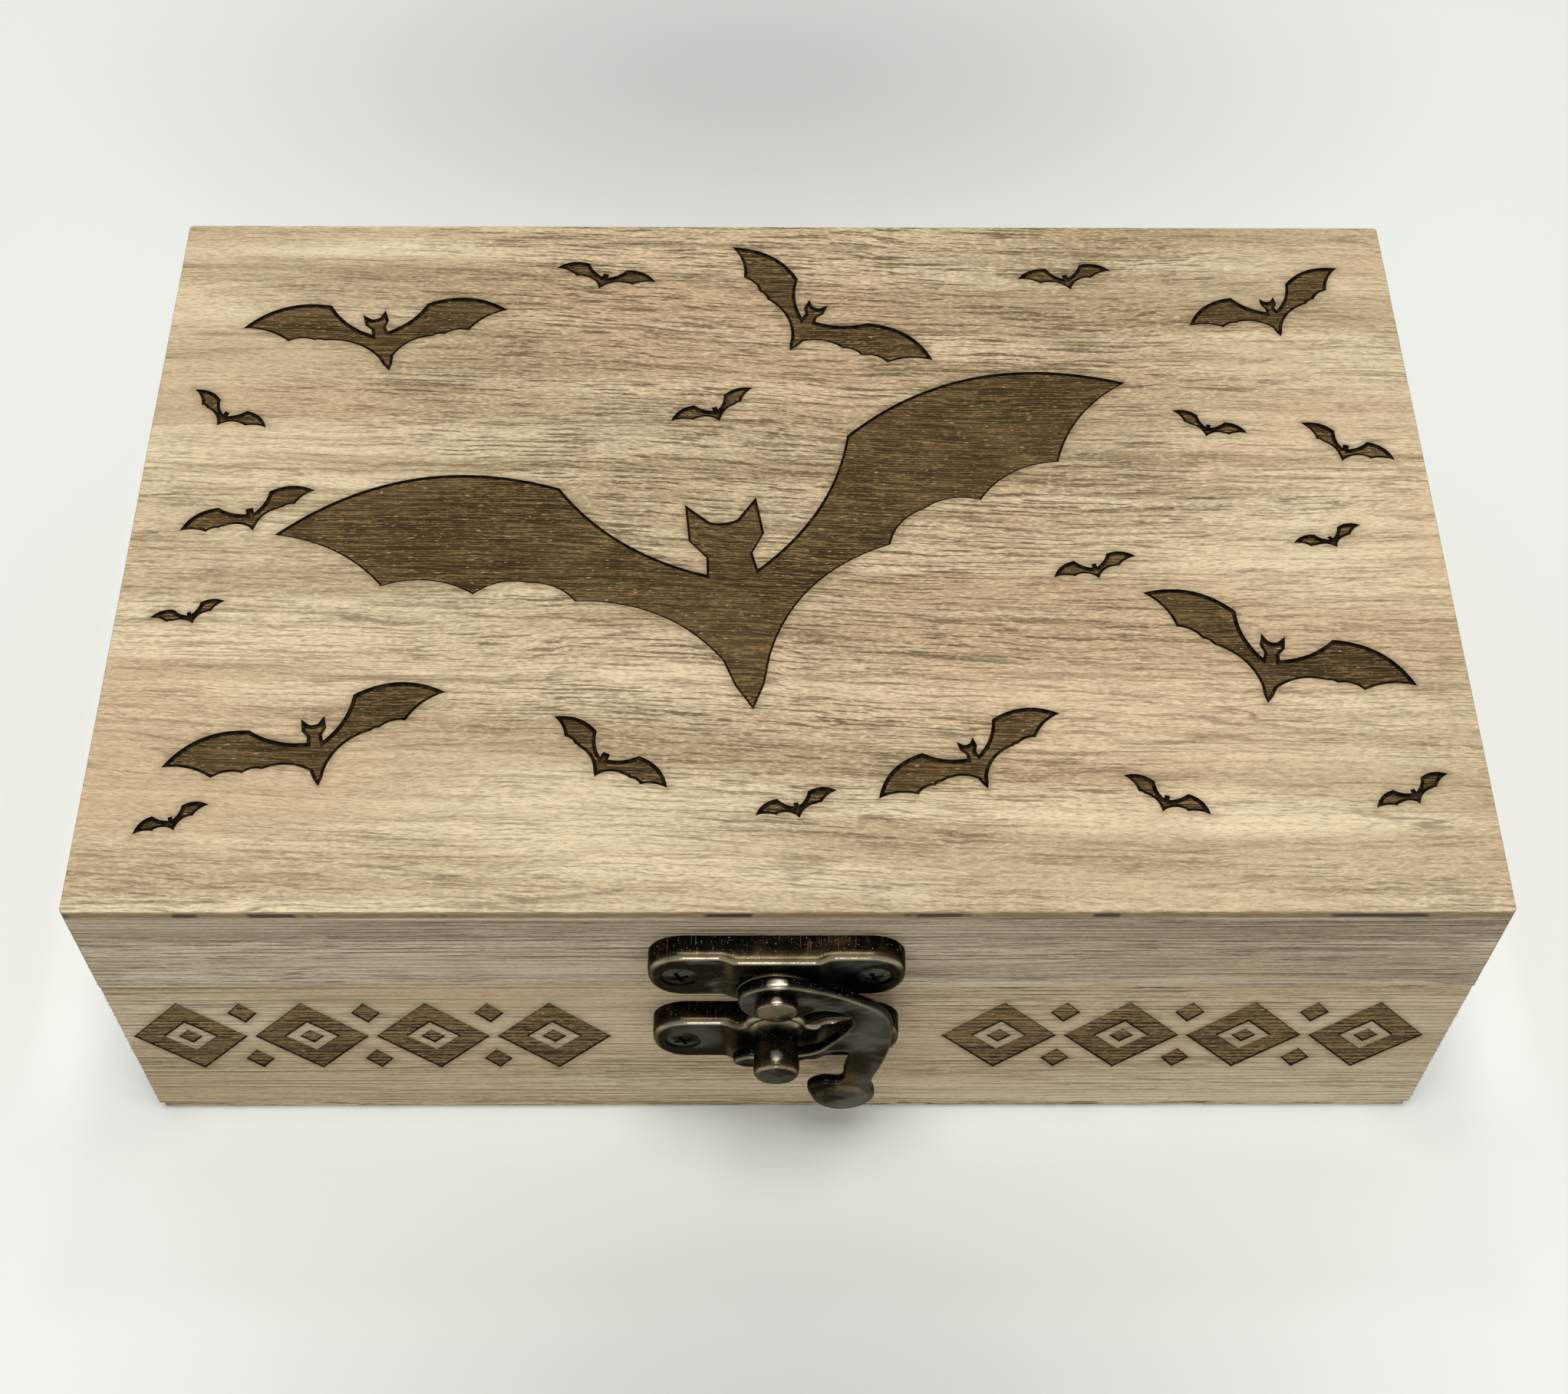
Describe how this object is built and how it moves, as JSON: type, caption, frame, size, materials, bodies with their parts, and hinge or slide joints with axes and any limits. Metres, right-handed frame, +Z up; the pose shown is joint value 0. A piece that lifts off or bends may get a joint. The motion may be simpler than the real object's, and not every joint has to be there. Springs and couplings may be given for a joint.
{
  "type": "hinged wooden keepsake box",
  "caption": "Small hinged wooden keepsake box with a thin flat lid board and walls, butt hinges at the back and a swing-hook latch on the front.",
  "frame": {"origin": "centre of the underside, on the surface the box stands on", "axes": "+X to the right along the front, +Y from the front to the hinged back, +Z up; the latch faces -Y"},
  "size_m": [0.18, 0.1314, 0.059],
  "materials": {
    "lid_board_wood": "sanded, unvarnished",
    "lid_frame_wood": "sanded, unvarnished",
    "base_wall_wood": "sanded, unvarnished",
    "bottom_wood": "sanded, unvarnished",
    "bronze_plates": "dark antique bronze plating, rubbed on the edges",
    "bronze_hook": "dark antique bronze plating, rubbed on the edges",
    "bronze_rivet": "dark antique bronze plating, rubbed on the edges",
    "bronze_screws": "dark antique bronze plating, rubbed on the edges",
    "bronze_hinges": "dark antique bronze plating, rubbed on the edges"
  },
  "bodies": {
    "base": {"bottom_panel": "bottom_wood", "base_front_wall": "base_wall_wood", "base_back_wall": "base_wall_wood", "base_left_wall": "base_wall_wood", "base_right_wall": "base_wall_wood", "left_hinge_box_leaf": "bronze_hinges", "left_hinge_pin": "bronze_hinges", "right_hinge_box_leaf": "bronze_hinges", "right_hinge_pin": "bronze_hinges", "hinge_box_screws": "bronze_screws", "keeper_plate": "bronze_plates", "keeper_plate_screws": "bronze_screws"},
    "lid": {"lid_top_panel": "lid_board_wood", "lid_front_rail": "lid_frame_wood", "lid_back_rail": "lid_frame_wood", "lid_left_rail": "lid_frame_wood", "lid_right_rail": "lid_frame_wood", "left_hinge_lid_leaf": "bronze_hinges", "right_hinge_lid_leaf": "bronze_hinges", "hinge_lid_screws": "bronze_screws", "latch_plate": "bronze_plates", "latch_plate_screws": "bronze_screws", "latch_washer": "bronze_plates", "latch_rivet": "bronze_rivet"},
    "hook": {"latch_hook": "bronze_hook"}
  },
  "joints": [
    {"name": "lid_hinge", "type": "hinge", "parent": "base", "child": "lid", "pos_m": [0, 0.0607, 0.0383], "axis": [-1, 0, 0], "range_deg": [0, 180]},
    {"name": "hook_swing", "type": "hinge", "parent": "lid", "child": "hook", "pos_m": [-0.0016, -0.06415, 0.0453], "axis": [0, -1, 0], "range_deg": [-18, 230]}
  ]
}
